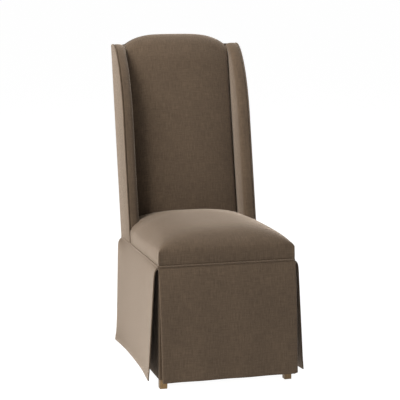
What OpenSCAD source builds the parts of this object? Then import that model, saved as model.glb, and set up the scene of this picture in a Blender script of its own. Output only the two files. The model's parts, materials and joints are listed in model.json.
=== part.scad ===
// Wingback dining chair with a tight crowned seat, an arched back and a floor skirt.
// The chair faces -Y, +Z is up, and the origin is on the floor under the middle of the chair.
// "left" and "right" are as seen from in front of the chair.

/* [Body] */
// Width across the outside covers
body_w = 490; // [440:1:560]
// Depth at the piping, from the front cover to the rear cover
body_d = 588; // [540:1:640]
// Height of the piping that the skirt hangs from
welt_z = 429; // [400:1:455]
// Slope length of the back, from the piping to the crown of the arch
back_len = 762; // [650:1:820]
// Lean of the back from upright, in degrees
back_rake = 12.3; // [6:0.1:15]

/* [Seat] */
// Height of the seat's upright edges above the piping
seat_edge_h = 45; // [38:1:60]
// Further rise of the seat from its edges to its crown
seat_rise = 72; // [50:1:90]
// Depth of the roll from the seat's front edge to its crown
seat_roll_d = 225; // [150:1:280]
// Fall of the seat from its crown to the back
seat_fall = 13; // [0:1:25]
// Radius of the seat's front corners in plan
seat_corner_r = 10; // [6:1:20]

/* [Back] */
// Thickness of the back beside the wings
back_t = 62; // [57:1:80]
// Further thickness of the padding in the middle of the back
back_crown = 14; // [6:1:24]
// Rise of the arch above its shoulders
arch_rise = 40; // [20:1:60]

/* [Wings] */
// Thickness of a wing
wing_t = 43; // [41:1:55]
// Reach of a wing in front of the rear cover
wing_reach = 152; // [130:1:180]
// Height of the curve that brings a wing's front edge back to its top
wing_curve_h = 300; // [200:1:360]
// Drop from the crown of the arch to the top of the wings
wing_drop = 32; // [20:1:50]
// Flat length on top of a wing
wing_flat = 22; // [14:1:34]

/* [Skirt] */
// Height of the hem above the floor
hem_z = 33; // [15:1:60]
// Thickness of the lined skirt
skirt_t = 4; // [3:0.1:4]
// How far the front hem hangs out from the front cover
flare_front = 40; // [20:1:60]
// How far a side hem hangs out at its front end
flare_side = 36; // [20:1:60]
// How far the rear hem, and a side hem's rear end, hang out
flare_rear = 28; // [18:1:50]
// How far a side hem draws in between its ends
side_draw_in = 12; // [4:1:18]
// Reach of a pleat underlay along each side of its corner
pleat_reach = 150; // [90:1:180]
// Thickness of a pleat underlay
pleat_t = 2.7; // [2:0.1:2.8]
// Diameter of the piping
welt_d = 6; // [5:0.1:8]

/* [Covers] */
// Space between the wooden frame and the cloth surface
wrap_t = 7.5; // [7.3:0.1:8]
// Thickness of a cover with its wadding, where foam backs it
cover_t = 3.5; // [2.5:0.1:4]

/* [Frame] */
// Width of a front leg at the seat rails
leg_t = 38; // [34:1:44]
// Width of a foot on the floor
foot_t = 25; // [20:1:32]
// Width of a back post
post_w = 34; // [31:1:36]
// Depth of a back post
post_d = 32; // [28:1:34]
// Thickness of the rails
rail_t = 25; // [22:1:28]
// Height of the seat rails
rail_h = 75; // [65:1:90]
// Height of the seat rails' top edge above the piping
rail_rise = 21; // [18:1:26]
// Thickness of a wing frame board
wing_board_t = 22; // [18:1:24]
// Padding in front of a wing frame board
wing_pad_t = 13; // [9:1:18]
// Height of the lower back rail
lower_rail_h = 50; // [40:1:60]
// Height of the arched top rail at its middle
top_rail_h = 90; // [80:1:110]
// Width of a webbing strap
strap_w = 50; // [40:1:56]
// Thickness of a webbing strap
strap_t = 1.5; // [1.2:0.1:2]
// Length of a corner block along each rail
block_reach = 64; // [50:1:80]
// Height of a corner block
block_h = 40; // [30:1:50]

/* [Fasteners] */
// Diameter of a dowel
dowel_d = 10; // [8:0.5:10]
// Length of a dowel
dowel_len = 40; // [30:1:42]
// Shank diameter of the corner block screws
block_screw_d = 6; // [5:0.5:7]
// Length of the corner block screws under the head
block_screw_len = 55; // [46:1:60]
// Shank diameter of the wing frame screws
wing_screw_d = 5; // [4:0.5:6]
// Length of the wing frame screws under the head
wing_screw_len = 60; // [50:1:75]

/* [Hidden] */

wood = "#a57a42";
inner_wood = "#c9a877";
cloth = "#8d7b67";
lining = "#6f604f";
foam = "#e8dcae";
webbing = "#5f564a";
card = "#b79d78";
metal = "#b9bcc0";
cambric = "#3a3836";

// Clearance between soft pieces and their neighbours, and the overrun of a cut
gap = 0.3;
overrun = 1;
// Clearance round a dowel or a screw, and at the end of its hole
hole_gap = 0.2;
hole_end = 0.5;
// Roundness of shanks, heads and holes
$fn = 48;

// Main planes of the chair
half_w = body_w / 2;
back_top_d = back_len * sin(back_rake);
front_y = -(body_d + back_top_d - flare_front) / 2;
rear_y = front_y + body_d;
frame_x = half_w - wrap_t;
frame_front_y = front_y + wrap_t;
frame_rear_y = rear_y - wrap_t;
frame_face = wrap_t + post_d;
rail_top = welt_z + rail_rise;
rail_bottom = rail_top - rail_h;
deck_top = rail_top + 3 * strap_t;
seam_gap = welt_d / 2 + gap;

// Two places for each side, front and rear
sides = [-1, 1];

// A mirrored copy for the left side
module on_side(side) {
    if (side > 0) children();
    else mirror([1, 0, 0]) children();
}

// The frame of the leaning back: -Y is the depth in front of the rear cover, +Z the slope length
module raked() {
    translate([0, rear_y, welt_z]) rotate([-back_rake, 0, 0]) children();
}

// Everything above a height, and everything below it
reach_all = 2 * (back_len + body_d + body_w);
module above(z) {
    translate([-reach_all / 2, -reach_all / 2, z]) cube(reach_all);
}
module below(z) {
    translate([-reach_all / 2, -reach_all / 2, z - reach_all]) cube(reach_all);
}

// The same outline drawn in by one amount on each side of its box
function drawn_in(pts, lo, hi, inset) = [
    for (p = pts) [
        for (k = [0, 1])
            (lo[k] + hi[k]) / 2 + (p[k] - (lo[k] + hi[k]) / 2) * (1 - 2 * inset / (hi[k] - lo[k]))
    ]
];

function mean_point(pts) = [for (k = [0 : 2]) [for (p = pts) p[k]] * [for (p = pts) 1] / len(pts)];

// A closed solid through rings of equal length, closed by a fan at each end
module skin(rings) {
    n = len(rings[0]);
    m = len(rings);
    first = m * n;
    sides_of_rings = [
        for (i = [0 : m - 2]) for (j = [0 : n - 1])
            let (a = i * n + j, b = i * n + (j + 1) % n, c = a + n, d = b + n)
                each [[a, c, d], [a, d, b]]
    ];
    caps = [
        for (j = [0 : n - 1])
            each [[first, j, (j + 1) % n], [first + 1, first - n + (j + 1) % n, first - n + j]]
    ];
    polyhedron(
        points = concat([for (r = rings) each r], [mean_point(rings[0]), mean_point(rings[m - 1])]),
        faces = concat(sides_of_rings, caps),
        convexity = 6
    );
}

// Seat
// The seat's body runs on behind the back, which cuts it off
seat_body_d = body_d + 2 * seat_corner_r;
seat_steps = 9;
corner_steps = 3;
// How the seat rises from its sides and from its front edge: power and root of each curve
seat_side_power = 3.25;
seat_side_root = 1.65;
seat_front_power = 3.7;
seat_front_root = 2.1;
// Rings of the dome: how far each is drawn in, as shares of the half width
seat_ring_shares = [0, 0.004, 0.02, 0.055, 0.11, 0.19, 0.31, 0.5, 0.78];

// Shares of the rise that are reached at a place across the seat, and at one along it
function seat_across(x) = pow(1 - pow(min(1, abs(x) / half_w), seat_side_power), 1 / seat_side_root);
function seat_along(y) =
    pow(1 - pow(1 - min(1, max(0, (y - front_y) / seat_roll_d)), seat_front_power), 1 / seat_front_root);

// Both shares together, near the lesser of the two, so that the dome's corners stay full
function seat_share(a, b) = a + b == 0 ? 0 : a * b / (a + b - a * b);

function seat_fall_at(y) =
    seat_fall * pow(max(0, (y - front_y - seat_roll_d) / (body_d - back_t - seat_roll_d)), 2);

function seat_top_at(x, y) =
    welt_z + seat_edge_h + (seat_rise - seat_fall_at(y)) * seat_share(seat_across(x), seat_along(y));

seat_lo = [-half_w, front_y];
seat_hi = [half_w, front_y + seat_body_d];

function corner_arc(cx, cy, from) = [
    for (k = [0 : corner_steps])
        let (a = from + 90 * k / corner_steps)
            [cx + seat_corner_r * cos(a), cy + seat_corner_r * sin(a)]
];
function between(a, b) = [for (k = [1 : seat_steps - 1]) a + (b - a) * k / seat_steps];

seat_in_lo = seat_lo + [seat_corner_r, seat_corner_r];
seat_in_hi = seat_hi - [seat_corner_r, seat_corner_r];
seat_plan = concat(
    corner_arc(seat_in_hi[0], seat_in_hi[1], 0),
    between([seat_in_hi[0], seat_hi[1]], [seat_in_lo[0], seat_hi[1]]),
    corner_arc(seat_in_lo[0], seat_in_hi[1], 90),
    between([seat_lo[0], seat_in_hi[1]], [seat_lo[0], seat_in_lo[1]]),
    corner_arc(seat_in_lo[0], seat_in_lo[1], 180),
    between([seat_in_lo[0], seat_lo[1]], [seat_in_hi[0], seat_lo[1]]),
    corner_arc(seat_in_hi[0], seat_in_lo[1], 270),
    between([seat_hi[0], seat_in_lo[1]], [seat_hi[0], seat_in_hi[1]])
);

// One ring of the dome, inside the outer one of the same share by an inset
function seat_ring(inset, share) =
    let (
        outer = drawn_in(seat_plan, seat_lo, seat_hi, share * half_w),
        inner = drawn_in(seat_plan, seat_lo, seat_hi, inset + share * (half_w - inset))
    )
    [for (k = [0 : len(outer) - 1])
        [inner[k][0], inner[k][1], seat_top_at(outer[k][0], outer[k][1]) - inset]];

// The seat's domed body, drawn in all round by one amount
module seat_body(inset) {
    low = [for (p = drawn_in(seat_plan, seat_lo, seat_hi, inset)) [p[0], p[1], rail_bottom]];
    skin(concat([low], [for (s = seat_ring_shares) seat_ring(inset, s)]));
}

module seat_cover() {
    color(cloth) difference() {
        seat_body(0);
        below(welt_z + seam_gap);
        intersection() {
            seat_body(cover_t);
            above(deck_top);
        }
        frame_block(gap, rail_bottom, deck_top);
        wing_space(gap);
        back_space(gap);
    }
}

module seat_foam() {
    color(foam) difference() {
        seat_body(cover_t + gap);
        below(deck_top + gap);
        wing_space(gap);
        back_space(gap);
    }
}

// The seat frame's whole block, grown by a clearance
module frame_block(grow, low, high) {
    translate([-frame_x - grow, frame_front_y - grow, low])
        cube([2 * (frame_x + grow), body_d, high - low]);
}

// Wings
// The outlines start below the piping, which cuts them off
wing_low = -wing_reach * tan(back_rake) - 2 * welt_d;
wing_top = back_len - wing_drop;
wing_steps = 12;
// Levels across a wing from its inner face: share of its thickness, and inset of its outline
wing_level_shares = [[0, 0.3], [0.1, 0.08], [0.26, 0], [0.62, 0], [0.84, 0.05], [1, 0.14]];
wing_seam_inset = wing_level_shares[5][1] * wing_t;
wing_lo = [0, wing_low];
wing_hi = [wing_reach, wing_top];

wing_outline = concat(
    [[wing_reach, wing_low], [0, wing_low], [0, wing_top]],
    [for (k = [0 : wing_steps])
        let (a = 90 - 90 * k / wing_steps)
            [wing_flat + (wing_reach - wing_flat) * cos(a),
             wing_top - wing_curve_h * (1 - sin(a))]]
);

// One outline across a wing, at a distance from its inner face
function wing_ring(x, inset) = [
    for (p = drawn_in(wing_outline, wing_lo, wing_hi, inset)) [x, -p[0], p[1]]
];

// The right wing's body, drawn in on its inner face and edges by one amount
module wing_body(inset) {
    raked() skin([
        for (v = wing_level_shares)
            wing_ring(half_w - wing_t + inset + v[0] * (wing_t - inset), inset + v[1] * wing_t)
    ]);
}

// The outline inside a wing's outer seam
module wing_seam_outline(grow) {
    polygon([
        for (p = drawn_in(wing_outline, wing_lo, wing_hi, wing_seam_inset - grow)) [p[0], p[1]]
    ]);
}

// A plate in the leaning frame, from an outline of depth and slope length
module raked_plate(x, thickness) {
    raked() translate([x, 0, 0]) rotate([90, 0, -90]) mirror([0, 0, 1])
        linear_extrude(thickness) children();
}

module wing_space(grow) {
    for (side = sides) on_side(side) wing_body(-grow);
}

module wing_outer_cover(side) {
    color(cloth) on_side(side) difference() {
        raked_plate(frame_x + gap, wrap_t - gap) wing_seam_outline(-gap);
        below(welt_z + seam_gap);
        rear_cover_space(gap);
    }
}

module wing_inner_cover(side) {
    color(cloth) on_side(side) difference() {
        wing_body(0);
        wing_body(cover_t);
        below(welt_z + seam_gap);
        wing_panel_space();
        rear_cover_space(gap);
        back_post_space();
        frame_block(gap, rail_bottom, deck_top + gap);
    }
}

// The place of a wing's outer cover, out past the chair's side
module wing_panel_space() {
    raked_plate(frame_x, 2 * wrap_t) wing_seam_outline(0);
}

// The place of the post, of the straps' ends on it and of the rear cover's board
module back_post_space() {
    depth = frame_face + strap_t + gap;
    raked() translate([0, -depth, wing_low])
        cube([frame_x + gap, depth + gap, post_len - wing_low + gap]);
}

module wing_pad(side) {
    color(foam) on_side(side) difference() {
        wing_body(cover_t + gap);
        translate([frame_x, -reach_all / 2, 0]) cube(reach_all);
        back_post_space();
        wing_board(gap);
        rear_cover_space(gap);
        frame_block(gap, rail_bottom, deck_top + gap);
    }
}

// Wing frames stand on the seat rails in front of the posts
wing_board_reach = wing_reach - wing_pad_t;
wing_board_top = wing_top - wing_pad_t;
board_slot_share = 0.5;
wing_screw_shares = [0.2, 0.5, 0.8];

// The board's outline in the leaning frame; its foot is cut level with the seat rail
module wing_board_outline(grow) {
    curve_low = wing_top - wing_curve_h;
    intersection() {
        polygon(concat(
            [[0, wing_low], [wing_board_reach + grow, wing_low]],
            [for (k = [0 : wing_steps])
                let (a = 90 * k / wing_steps)
                    [wing_flat + (wing_board_reach + grow - wing_flat) * cos(a),
                     curve_low + (wing_board_top + grow - curve_low) * sin(a)]],
            [[0, wing_board_top + grow]]
        ));
        translate([frame_face - grow, wing_low]) square([wing_reach, wing_top - wing_low]);
    }
}

// A tall slot that lightens the board, with round ends
board_slot_w = board_slot_share * (wing_board_reach - frame_face);
board_slot_mid = (wing_board_reach + frame_face) / 2;
board_slot_low = rail_rise + 4 * wing_pad_t;
board_slot_high = wing_top - wing_curve_h;

module wing_board(grow) {
    difference() {
        raked_plate(frame_x - wing_board_t - grow, wing_board_t + grow) wing_board_outline(grow);
        if (grow == 0) raked_plate(frame_x - wing_board_t - overrun, wing_board_t + 2 * overrun) {
            translate([board_slot_mid, board_slot_low]) circle(board_slot_w / 2);
            translate([board_slot_mid, board_slot_high]) circle(board_slot_w / 2);
            translate([board_slot_mid - board_slot_w / 2, board_slot_low])
                square([board_slot_w, board_slot_high - board_slot_low]);
        }
    }
}

module wing_frame(side) {
    color(inner_wood) on_side(side) difference() {
        wing_board(0);
        below(rail_top);
        wing_screw_holes();
    }
}

// Wing screws pass through the posts from behind, into the boards
wing_screw_x = frame_x - wing_board_t / 2;
wing_screw_head_d = 2 * wing_screw_d;
wing_screw_head_h = wing_screw_d / 2;
wing_screw_places = [
    for (s = wing_screw_shares) rail_rise + s * (wing_top - wing_curve_h / 2 - rail_rise)
];

module each_wing_screw() {
    raked() for (h = wing_screw_places) translate([wing_screw_x, -wrap_t, h]) rotate([90, 0, 0]) children();
}

module wing_screw_holes() {
    each_wing_screw() translate([0, 0, -overrun]) {
        cylinder(h = wing_screw_len + hole_end + overrun, d = wing_screw_d + hole_gap);
        cylinder(h = wing_screw_head_h + overrun, d = wing_screw_head_d + hole_gap);
    }
}

module wing_frame_screws() {
    color(metal) for (side = sides) on_side(side) each_wing_screw() {
        cylinder(h = wing_screw_len, d = wing_screw_d);
        cylinder(h = wing_screw_head_h, d = wing_screw_head_d);
    }
}

// Legs
post_len = wing_top - wing_pad_t - wrap_t;
taper_top = rail_bottom;

// A front leg's face: straight outside, tapered inside below the rails
module front_leg_outline() {
    polygon([
        [0, 0], [foot_t, 0], [leg_t, taper_top], [leg_t, rail_top], [0, rail_top]
    ]);
}

module front_leg_body() {
    intersection() {
        translate([frame_x, frame_front_y + leg_t, 0]) rotate([90, 0, 0])
            linear_extrude(leg_t) mirror([1, 0]) front_leg_outline();
        translate([frame_x - leg_t, frame_front_y, 0]) rotate([90, 0, 90])
            linear_extrude(leg_t) front_leg_outline();
    }
}

module front_leg(side) {
    color(wood) on_side(side) difference() {
        front_leg_body();
        rail_dowel_holes();
        block_screw_holes();
    }
}

// A rear leg and its post are sawn from one board
rear_leg_front_y = frame_rear_y - leg_t;

module rear_leg_profile() {
    post_front_low = rear_y - frame_face / cos(back_rake);
    polygon([
        [frame_rear_y - foot_t, 0], [frame_rear_y, 0], [frame_rear_y, welt_z + welt_d / 2],
        [rear_y + raked_y(wrap_t, post_len), welt_z + raked_z(wrap_t, post_len)],
        [rear_y + raked_y(frame_face, post_len), welt_z + raked_z(frame_face, post_len)],
        [post_front_low + rail_rise * tan(back_rake), rail_top],
        [rear_leg_front_y, rail_top], [rear_leg_front_y, taper_top]
    ]);
}

// Place of a point of the leaning frame, from the piping's rear edge
function raked_y(depth, slope) = slope * sin(back_rake) - depth * cos(back_rake);
function raked_z(depth, slope) = slope * cos(back_rake) + depth * sin(back_rake);

module rear_leg_body() {
    intersection() {
        translate([frame_x - post_w, 0, 0]) rotate([90, 0, 90]) linear_extrude(post_w) rear_leg_profile();
        translate([frame_x, reach_all / 2, 0]) rotate([90, 0, 0]) linear_extrude(reach_all)
            polygon([
                [0, 0], [-foot_t, 0], [-post_w, taper_top],
                [-post_w, welt_z + back_len], [0, welt_z + back_len]
            ]);
    }
}

module rear_leg(side) {
    color(wood) on_side(side) difference() {
        rear_leg_body();
        rail_dowel_holes();
        back_dowel_holes();
        block_screw_holes();
        wing_screw_holes();
    }
}

// Seat rails
module front_seat_rail() {
    length = 2 * (frame_x - leg_t);
    color(inner_wood) difference() {
        translate([-length / 2, frame_front_y, rail_bottom]) cube([length, rail_t, rail_h]);
        for (side = sides) on_side(side) rail_dowel_holes();
    }
}

module rear_seat_rail() {
    length = 2 * (frame_x - post_w);
    color(inner_wood) difference() {
        translate([-length / 2, frame_rear_y - rail_t, rail_bottom]) cube([length, rail_t, rail_h]);
        for (side = sides) on_side(side) rail_dowel_holes();
    }
}

module side_seat_rail(side) {
    start = frame_front_y + leg_t;
    color(inner_wood) on_side(side) difference() {
        translate([frame_x - rail_t, start, rail_bottom]) cube([rail_t, rear_leg_front_y - start, rail_h]);
        rail_dowel_holes();
    }
}

// Two dowels in each joint; those of the side rails sit higher, clear of the others
cross_dowel_shares = [0.22, 0.62];
side_dowel_shares = [0.42, 0.82];

// Runs along +X through a joint of the right side, centred on it
module dowel(grow, end_grow) {
    rotate([0, 90, 0]) cylinder(h = dowel_len + 2 * end_grow, d = dowel_d + grow, center = true);
}

module rail_dowels(grow, end_grow) {
    for (s = cross_dowel_shares) {
        translate([frame_x - leg_t, frame_front_y + rail_t / 2, rail_bottom + s * rail_h])
            dowel(grow, end_grow);
        translate([frame_x - post_w, frame_rear_y - rail_t / 2, rail_bottom + s * rail_h])
            dowel(grow, end_grow);
    }
    for (s = side_dowel_shares) {
        translate([frame_x - rail_t / 2, frame_front_y + leg_t, rail_bottom + s * rail_h])
            rotate([0, 0, 90]) dowel(grow, end_grow);
        translate([frame_x - rail_t / 2, rear_leg_front_y, rail_bottom + s * rail_h])
            rotate([0, 0, 90]) dowel(grow, end_grow);
    }
}

module rail_dowel_holes() {
    rail_dowels(hole_gap, hole_end);
}

module seat_rail_dowels() {
    color(inner_wood) for (side = sides) on_side(side) rail_dowels(0, 0);
}

// Corner blocks, notched round the legs and screwed into them
block_low = rail_bottom + (rail_h - block_h) / 2;
block_screw_head_d = 2 * block_screw_d;
block_screw_head_h = block_screw_d / 2;

// In plan from a corner of the rails' inner faces; the leg stands in by its own overhang
module block_outline(leg_x, leg_y) {
    polygon([
        [-leg_x - block_reach, 0], [-leg_x, 0], [-leg_x, leg_y], [0, leg_y], [0, leg_y + block_reach]
    ]);
}

module front_block_body() {
    translate([frame_x - rail_t, frame_front_y + rail_t, block_low]) linear_extrude(block_h)
        block_outline(leg_t - rail_t, leg_t - rail_t);
}

module rear_block_body() {
    translate([frame_x - rail_t, frame_rear_y - rail_t, block_low]) linear_extrude(block_h)
        mirror([0, 1]) block_outline(post_w - rail_t, leg_t - rail_t);
}

// Each screw starts on its block's long face and points into the leg
front_block_mid = [
    frame_x - rail_t - (leg_t - rail_t + block_reach) / 2,
    frame_front_y + rail_t + (leg_t - rail_t + block_reach) / 2
];
rear_block_mid = [
    frame_x - rail_t - (post_w - rail_t + block_reach) / 2,
    frame_rear_y - rail_t - (leg_t - rail_t + block_reach) / 2
];
front_block_turn = -45;
rear_block_turn = atan((leg_t - rail_t + block_reach) / (post_w - rail_t + block_reach));

module each_block_screw() {
    mid_z = block_low + block_h / 2;
    translate([front_block_mid[0], front_block_mid[1], mid_z])
        rotate([0, 0, front_block_turn]) rotate([0, 90, 0]) children();
    translate([rear_block_mid[0], rear_block_mid[1], mid_z])
        rotate([0, 0, 90 - rear_block_turn]) rotate([0, 90, 0]) children();
}

module block_screw_holes() {
    each_block_screw() translate([0, 0, -overrun])
        cylinder(h = block_screw_len + hole_end + overrun, d = block_screw_d + hole_gap);
}

module corner_block_screws() {
    color(metal) for (side = sides) on_side(side) each_block_screw() {
        cylinder(h = block_screw_len, d = block_screw_d);
        translate([0, 0, -block_screw_head_h]) cylinder(h = block_screw_head_h, d = block_screw_head_d);
    }
}

module corner_block(side, front) {
    color(inner_wood) on_side(side) difference() {
        if (front) front_block_body();
        else rear_block_body();
        block_screw_holes();
    }
}

// Back frame, between the posts and flush with their front faces
back_half_w = half_w - wing_t - gap;
rail_half = frame_x - post_w;
lower_rail_low = seat_edge_h + seat_rise - seat_fall - lower_rail_h / 2;
arch_power = 3;
arch_steps = 18;
arch_top_pad = wrap_t + 2 * cover_t;

// The arch's height at a place across the back
function arch_at(x, half, low, rise) = low + rise * (1 - pow(min(1, abs(x) / half), arch_power));

function arch_points(half, low, rise) = [
    for (k = [0 : arch_steps])
        let (x = half * cos(180 * k / arch_steps)) [x, arch_at(x, half, low, rise)]
];

back_shoulder = back_len - arch_rise;
rail_crown = back_len - arch_top_pad;
rail_arch_half = back_half_w - 2 * cover_t;

// A board's outline from a low edge to the posts' tops, with the arch between its shoulders
module frame_top_outline(half, low) {
    polygon(concat(
        [[-half, low], [half, low], [half, post_len]],
        arch_points(rail_arch_half, post_len, rail_crown - post_len),
        [[-half, post_len]]
    ));
}

module back_top_rail() {
    color(inner_wood) difference() {
        raked() translate([0, -frame_face + rail_t, 0]) rotate([90, 0, 0]) linear_extrude(rail_t)
            frame_top_outline(rail_half, rail_crown - top_rail_h);
        for (side = sides) on_side(side) back_dowel_holes();
    }
}

module back_lower_rail() {
    color(inner_wood) difference() {
        raked() translate([-rail_half, -frame_face, lower_rail_low])
            cube([2 * rail_half, rail_t, lower_rail_h]);
        for (side = sides) on_side(side) back_dowel_holes();
    }
}

// Two dowels at each end of the two back rails
back_dowel_shares = [0.25, 0.75];
top_dowel_low = rail_crown - top_rail_h;
top_dowel_high = post_len;
back_dowel_places = concat(
    [for (s = back_dowel_shares) lower_rail_low + s * lower_rail_h],
    [for (s = back_dowel_shares) top_dowel_low + s * (top_dowel_high - top_dowel_low)]
);

module back_dowels(grow, end_grow) {
    raked() for (h = back_dowel_places)
        translate([rail_half, -frame_face + rail_t / 2, h]) dowel(grow, end_grow);
}

module back_dowel_holes() {
    back_dowels(hole_gap, hole_end);
}

module back_rail_dowels() {
    color(inner_wood) for (side = sides) on_side(side) back_dowels(0, 0);
}

// Webbing and the cloth over it
strap_hold = 20;
cross_strap_count = 5;
long_strap_count = 5;
back_cross_strap_count = 5;
back_long_strap_count = 4;

// Centres of equal straps that fill a span with equal spaces
function strap_places(low, high, count) = [
    for (k = [0 : count - 1]) low + (high - low) * (k + 1 / 2) / count
];

module seat_webbing_cross() {
    reach = frame_x - rail_t + strap_hold;
    low = frame_front_y + leg_t;
    high = rear_y - wing_reach / cos(back_rake);
    color(webbing) for (y = strap_places(low, high, cross_strap_count))
        translate([-reach, y - strap_w / 2, rail_top]) cube([2 * reach, strap_w, strap_t]);
}

module seat_webbing_long() {
    half = frame_x - leg_t;
    low = frame_front_y + rail_t - strap_hold;
    high = frame_rear_y - rail_t + strap_hold;
    color(webbing) for (x = strap_places(-half, half, long_strap_count))
        translate([x - strap_w / 2, low, rail_top + strap_t]) cube([strap_w, high - low, strap_t]);
}

module seat_deck_cloth() {
    half = half_w - wing_t - 2 * gap;
    low = frame_front_y;
    high = rear_leg_front_y;
    color(card) translate([-half, low, rail_top + 2 * strap_t]) cube([2 * half, high - low, strap_t]);
}

module back_webbing_cross() {
    reach = frame_x - wing_board_t - gap;
    color(webbing) raked()
        for (h = strap_places(lower_rail_low + lower_rail_h, top_dowel_low, back_cross_strap_count))
            translate([-reach, -frame_face - strap_t, h - strap_w / 2]) cube([2 * reach, strap_t, strap_w]);
}

module back_webbing_long() {
    low = lower_rail_low + lower_rail_h - strap_hold;
    high = top_dowel_low + strap_hold;
    color(webbing) raked() for (x = strap_places(-rail_half, rail_half, back_long_strap_count))
        translate([x - strap_w / 2, -frame_face - 2 * strap_t, low]) cube([strap_w, strap_t, high - low]);
}

module back_burlap() {
    half = back_half_w - cover_t - 2 * gap;
    low = lower_rail_low;
    high = post_len;
    color(card) raked() translate([-half, -frame_face - 3 * strap_t, low])
        cube([2 * half, strap_t, high - low]);
}

// The back's padded body: rings drawn in from the arch, at depths in front of the rear cover
back_lo = [-back_half_w, wing_low];
back_hi = [back_half_w, back_len];
// Roll of the padded edge, and its levels: inset as a share of it, depth as a share of the thickness
back_roll = 14;
back_level_shares = [[0.2, 0], [0.05, 0.05], [0, 0.15], [0, 0.77], [0.2, 0.9], [0.7, 0.98]];
// Rings of the crown: inset as a share of the half width, and share of the crown reached
back_crown_shares = [[0.25, 0.45], [0.5, 0.8], [0.78, 0.97]];

back_outline = concat(
    [[-back_half_w, wing_low], [back_half_w, wing_low]],
    arch_points(back_half_w, back_shoulder, arch_rise)
);

function back_ring(inset, depth) = [
    for (p = drawn_in(back_outline, back_lo, back_hi, inset)) [p[0], -depth, p[1]]
];

module back_body(inset) {
    raked() skin(concat(
        [for (v = back_level_shares)
            back_ring(inset + v[0] * back_roll, inset + v[1] * (back_t - 2 * inset))],
        [for (v = back_crown_shares)
            back_ring(v[0] * back_half_w, back_t - inset + v[1] * back_crown)]
    ));
}

// The padded back and, behind it, the frame
module back_space(grow) {
    back_body(-grow);
    raked() translate([-reach_all / 2, -frame_face - grow, wing_low]) cube([reach_all, reach_all, back_len]);
}

module inside_back_cover() {
    color(cloth) difference() {
        back_body(0);
        back_body(cover_t);
        rear_cover_space(gap);
        back_core_space();
        below(deck_top + gap);
    }
}

// Inside the back, from the rear cover to the front faces of the frame, below the arch
module back_core_space() {
    raked() translate([-back_half_w - overrun, -frame_face - 3 * strap_t, wing_low])
        cube([2 * (back_half_w + overrun), frame_face + 3 * strap_t, post_len - wing_low]);
}

module back_foam() {
    color(foam) difference() {
        back_body(cover_t + gap);
        rear_cover_space(gap);
        raked() {
            translate([-back_half_w, -frame_face - 3 * strap_t - gap, wing_low])
                cube([2 * back_half_w, frame_face + 3 * strap_t + gap, post_len + gap - wing_low]);
            translate([0, -frame_face - gap, 0]) mirror([0, 1, 0]) rotate([90, 0, 0])
                linear_extrude(frame_face + gap) polygon(concat(
                    [[-rail_half, 0], [rail_half, 0]],
                    arch_points(rail_half + gap, post_len, rail_crown - post_len + gap)
                ));
        }
        below(deck_top + gap);
    }
}

// Outside back: a stiff board and the rear cover over it
rear_board_t = wrap_t - cover_t - 2 * gap;

// The rear cover's outline: the wings' width with the arch above
module rear_outline(inset) {
    polygon(concat(
        [[-half_w + inset, wing_low], [half_w - inset, wing_low],
         [half_w - inset, wing_top - inset], [back_half_w - inset, wing_top - inset]],
        [for (p = arch_points(back_half_w - inset, back_shoulder - inset, arch_rise))
            if (p[1] > wing_top - inset) p],
        [[-back_half_w + inset, wing_top - inset], [-half_w + inset, wing_top - inset]]
    ));
}

module raked_sheet(depth, thickness) {
    raked() translate([0, -depth, 0]) rotate([90, 0, 0]) linear_extrude(thickness) children();
}

module rear_cover_space(grow) {
    raked() translate([-reach_all / 2, -cover_t - grow, -reach_all / 2]) cube(reach_all);
}

module outside_back_cover() {
    color(cloth) difference() {
        raked_sheet(0, cover_t) rear_outline(gap);
        below(welt_z + seam_gap);
    }
}

module outside_back_board() {
    color(card) difference() {
        raked_sheet(cover_t + gap, rear_board_t) frame_top_outline(half_w - arch_top_pad, wing_low);
        below(welt_z + seam_gap);
    }
}

// Piping: a round cord on a flat tape that is tacked to the frame
welt_tape_t = 1.5;
welt_out = welt_d / 3;
welt_corner_r = seat_corner_r;

// Centres of the piping's corner turns
welt_x = half_w + welt_out - welt_d / 2 - welt_corner_r;
welt_low = front_y - welt_out + welt_d / 2 + welt_corner_r;
welt_high = rear_y + welt_out - welt_d / 2 - welt_corner_r;

module welt_corner(x, y, from) {
    translate([x, y, welt_z]) rotate([0, 0, from]) rotate_extrude(angle = 90)
        translate([welt_corner_r, 0]) circle(d = welt_d);
}

module welt_cord() {
    welt_corner(welt_x, welt_high, 0);
    welt_corner(-welt_x, welt_high, 90);
    welt_corner(-welt_x, welt_low, 180);
    welt_corner(welt_x, welt_low, 270);
    for (y = [welt_low - welt_corner_r, welt_high + welt_corner_r])
        translate([-welt_x, y, welt_z]) rotate([0, 90, 0]) cylinder(h = 2 * welt_x, d = welt_d);
    for (x = [-welt_x - welt_corner_r, welt_x + welt_corner_r])
        translate([x, welt_low, welt_z]) rotate([-90, 0, 0]) cylinder(h = welt_high - welt_low, d = welt_d);
}

// The tape reaches from the frame to the middle of the cord
module welt_tape() {
    translate([0, 0, welt_z - welt_tape_t / 2]) linear_extrude(welt_tape_t) difference() {
        union() {
            translate([-welt_x - welt_corner_r, welt_low])
                square([2 * (welt_x + welt_corner_r), welt_high - welt_low]);
            translate([-welt_x, welt_low - welt_corner_r])
                square([2 * welt_x, welt_high - welt_low + 2 * welt_corner_r]);
            for (side = sides) for (y = [welt_low, welt_high])
                translate([side * welt_x, y]) circle(welt_corner_r);
        }
        translate([-frame_x, frame_front_y]) square([2 * frame_x, frame_rear_y - frame_front_y]);
    }
}

module skirt_piping() {
    color(cloth) {
        welt_cord();
        welt_tape();
    }
}

// Skirt
skirt_top = welt_z - seam_gap;
skirt_columns = 16;
skirt_rows = 6;
// Rows lie closer under the piping, where the cloth puffs out before it hangs
skirt_row_power = 1.7;
skirt_puff_share = 0.4;
side_puff_share = 0.46;
skirt_puff_power = 7;
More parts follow.
